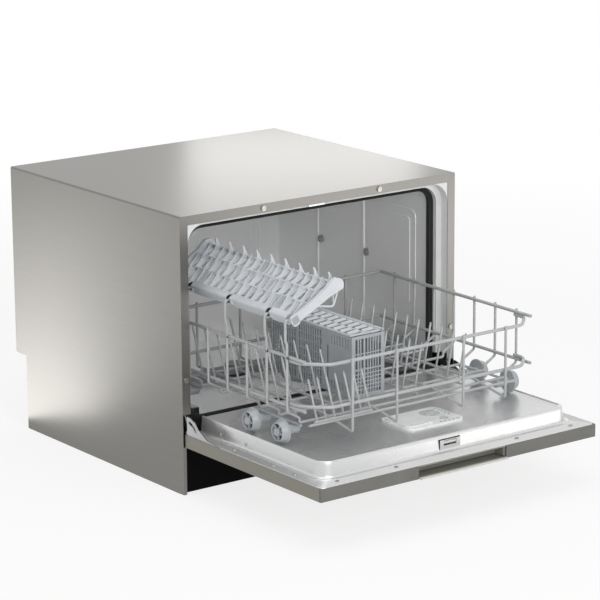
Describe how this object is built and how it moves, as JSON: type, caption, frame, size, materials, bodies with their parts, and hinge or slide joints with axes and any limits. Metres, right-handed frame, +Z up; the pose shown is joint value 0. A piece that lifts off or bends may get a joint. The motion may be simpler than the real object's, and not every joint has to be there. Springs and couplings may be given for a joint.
{
  "type": "countertop dishwasher",
  "caption": "Free-standing countertop dishwasher with a steel cover, drop-down front door, wire basket rolled out on wheels, cup shelf, cutlery basket and spray arm.",
  "frame": {"origin": "on the counter, at the centre of the cabinet's footprint, in the plane of the base tray's underside", "axes": "+Z up, -Y out of the front, where the door opens, +X to the right seen from the front"},
  "size_m": [0.551, 0.86, 0.45],
  "materials": {
    "brushed_steel_cover": "satin, brushed along the depth",
    "galvanised_sheet": "satin",
    "dark_sheet": "matt",
    "black_panel": "matt",
    "black_rubber": "matt",
    "tub_steel": "bright",
    "pale_plastic": "satin",
    "zinc_screws": "bright",
    "hinge_steel": "polished",
    "dark_plastic": "matt",
    "filter_mesh": "satin",
    "pump_plastic": "matt",
    "blue_plastic": "satin",
    "white_plastic": "gloss",
    "spray_plastic": "satin",
    "door_steel": "satin, brushed across the width",
    "handle_grey": "satin",
    "fascia_black": "gloss",
    "circuit_green": "satin",
    "button_silver": "satin",
    "rinse_blue": "gloss",
    "wire_coating": "satin nylon coating",
    "wheel_plastic": "satin",
    "shelf_plastic": "satin",
    "cutlery_grey": "satin",
    "lid_grey": "satin"
  },
  "bodies": {
    "cabinet": {"outer_cover": "brushed_steel_cover", "rear_panel": "galvanised_sheet", "base_tray": "dark_sheet", "kick_plate": "black_panel", "feet": "black_rubber", "cover_screws": "zinc_screws", "tub_shell": "tub_steel", "front_frame": "pale_plastic", "door_gasket": "black_rubber", "wall_plugs": "zinc_screws", "basket_rails": "hinge_steel", "sump": "dark_plastic", "fine_filter": "filter_mesh", "wash_pump": "pump_plastic", "drain_pump": "blue_plastic", "flow_heater": "hinge_steel", "inlet_valve": "white_plastic", "drain_spigot": "dark_plastic", "cable_gland": "dark_plastic", "hinge_brackets": "galvanised_sheet", "balance_springs": "galvanised_sheet", "latch_striker": "hinge_steel", "spray_hub": "dark_plastic"},
    "coarse_filter": {"coarse_filter": "filter_mesh"},
    "spray_arm": {"spray_arm": "spray_plastic"},
    "door": {"door_panel": "door_steel", "door_liner": "tub_steel", "door_handle": "handle_grey", "hinge_arms": "hinge_steel", "door_screws": "zinc_screws", "control_fascia": "fascia_black", "control_board": "circuit_green", "dispenser_body": "white_plastic"},
    "latch_bolt": {"latch_bolt": "hinge_steel"},
    "button_power": {"button_power": "button_silver"},
    "button_program": {"button_program": "button_silver"},
    "button_delay": {"button_delay": "button_silver"},
    "button_start": {"button_start": "button_silver"},
    "dispenser_lid": {"dispenser_lid": "white_plastic"},
    "dispenser_button": {"dispenser_button": "rinse_blue"},
    "rinse_cap": {"rinse_cap": "rinse_blue"},
    "basket": {"basket_left": "wire_coating", "basket_right": "wire_coating", "basket_front": "wire_coating", "basket_rear": "wire_coating", "basket_hoops": "wire_coating", "basket_runners": "wire_coating", "plate_tines": "wire_coating", "wheel_axles": "wheel_plastic"},
    "cup_shelf": {"cup_shelf": "shelf_plastic"},
    "cutlery_basket": {"cutlery_basket": "cutlery_grey"},
    "cutlery_lid": {"cutlery_lid": "lid_grey"},
    "wheel_left_1": {"wheel_left_1": "wheel_plastic"},
    "wheel_left_2": {"wheel_left_2": "wheel_plastic"},
    "wheel_left_3": {"wheel_left_3": "wheel_plastic"},
    "wheel_left_4": {"wheel_left_4": "wheel_plastic"},
    "wheel_right_1": {"wheel_right_1": "wheel_plastic"},
    "wheel_right_2": {"wheel_right_2": "wheel_plastic"},
    "wheel_right_3": {"wheel_right_3": "wheel_plastic"},
    "wheel_right_4": {"wheel_right_4": "wheel_plastic"}
  },
  "joints": [
    {"name": "door_hinge", "type": "hinge", "parent": "cabinet", "child": "door", "pos_m": [0, -0.256, 0.097], "axis": [-1, 0, 0], "range_deg": [0, 0.07]},
    {"name": "basket_roll", "type": "slide", "parent": "cabinet", "child": "basket", "axis": [0, 1, 0], "range_m": [0, 0.3]},
    {"name": "wheel_left_1_spin", "type": "hinge", "parent": "basket", "child": "wheel_left_1", "pos_m": [-0.2305, -0.446, 0.1448], "axis": [1, 0, 0], "continuous": true},
    {"name": "wheel_left_2_spin", "type": "hinge", "parent": "basket", "child": "wheel_left_2", "pos_m": [-0.2305, -0.37, 0.1448], "axis": [1, 0, 0], "continuous": true},
    {"name": "wheel_left_3_spin", "type": "hinge", "parent": "basket", "child": "wheel_left_3", "pos_m": [-0.2305, -0.178, 0.1448], "axis": [1, 0, 0], "continuous": true},
    {"name": "wheel_left_4_spin", "type": "hinge", "parent": "basket", "child": "wheel_left_4", "pos_m": [-0.2305, -0.126, 0.1448], "axis": [1, 0, 0], "continuous": true},
    {"name": "wheel_right_1_spin", "type": "hinge", "parent": "basket", "child": "wheel_right_1", "pos_m": [0.2305, -0.446, 0.1448], "axis": [1, 0, 0], "continuous": true},
    {"name": "wheel_right_2_spin", "type": "hinge", "parent": "basket", "child": "wheel_right_2", "pos_m": [0.2305, -0.37, 0.1448], "axis": [1, 0, 0], "continuous": true},
    {"name": "wheel_right_3_spin", "type": "hinge", "parent": "basket", "child": "wheel_right_3", "pos_m": [0.2305, -0.178, 0.1448], "axis": [1, 0, 0], "continuous": true},
    {"name": "wheel_right_4_spin", "type": "hinge", "parent": "basket", "child": "wheel_right_4", "pos_m": [0.2305, -0.126, 0.1448], "axis": [1, 0, 0], "continuous": true},
    {"name": "shelf_fold", "type": "hinge", "parent": "basket", "child": "cup_shelf", "pos_m": [-0.21905, -0.472, 0.322], "axis": [0, -1, 0], "range_deg": [-27, 30]},
    {"name": "cutlery_lift", "type": "slide", "parent": "basket", "child": "cutlery_basket", "axis": [0, 0, 1], "range_m": [0, 0.08]},
    {"name": "cutlery_lid_hinge", "type": "hinge", "parent": "cutlery_basket", "child": "cutlery_lid", "pos_m": [-0.0145, -0.425, 0.2648], "axis": [0, 1, 0], "range_deg": [0, 105]},
    {"name": "spray_arm_spin", "type": "hinge", "parent": "cabinet", "child": "spray_arm", "pos_m": [0, -0.005, 0.102], "axis": [0, 0, 1], "continuous": true},
    {"name": "filter_turn", "type": "hinge", "parent": "cabinet", "child": "coarse_filter", "pos_m": [0.105, -0.085, 0.097], "axis": [0, 0, 1], "range_deg": [0, 90]},
    {"name": "latch_slide", "type": "slide", "parent": "door", "child": "latch_bolt", "axis": [0, -1, 0], "range_m": [0, 0.008], "stiffness_N_per_m": 300},
    {"name": "button_power_press", "type": "slide", "parent": "door", "child": "button_power", "axis": [0, 0, 1], "range_m": [0, 0.0012], "stiffness_N_per_m": 300},
    {"name": "button_program_press", "type": "slide", "parent": "door", "child": "button_program", "axis": [0, 0, 1], "range_m": [0, 0.0012], "stiffness_N_per_m": 300},
    {"name": "button_delay_press", "type": "slide", "parent": "door", "child": "button_delay", "axis": [0, 0, 1], "range_m": [0, 0.0012], "stiffness_N_per_m": 300},
    {"name": "button_start_press", "type": "slide", "parent": "door", "child": "button_start", "axis": [0, 0, 1], "range_m": [0, 0.0012], "stiffness_N_per_m": 300},
    {"name": "dispenser_lid_slide", "type": "slide", "parent": "door", "child": "dispenser_lid", "axis": [-1, 0, 0], "range_m": [0, 0.05]},
    {"name": "dispenser_button_press", "type": "slide", "parent": "door", "child": "dispenser_button", "axis": [0, 0, -1], "range_m": [0, 0.002], "stiffness_N_per_m": 300},
    {"name": "rinse_cap_turn", "type": "hinge", "parent": "door", "child": "rinse_cap", "pos_m": [0.046, -0.466, 0.128], "axis": [0, 0, 1], "range_deg": [0, 90]}
  ],
  "couplings": [
    {"joint": "wheel_left_1_spin", "follows": "basket_roll", "rad_per_m": -51.282},
    {"joint": "wheel_left_2_spin", "follows": "basket_roll", "rad_per_m": -51.282},
    {"joint": "wheel_left_3_spin", "follows": "basket_roll", "rad_per_m": -51.282},
    {"joint": "wheel_left_4_spin", "follows": "basket_roll", "rad_per_m": -51.282},
    {"joint": "wheel_right_1_spin", "follows": "basket_roll", "rad_per_m": -51.282},
    {"joint": "wheel_right_2_spin", "follows": "basket_roll", "rad_per_m": -51.282},
    {"joint": "wheel_right_3_spin", "follows": "basket_roll", "rad_per_m": -51.282},
    {"joint": "wheel_right_4_spin", "follows": "basket_roll", "rad_per_m": -51.282}
  ]
}
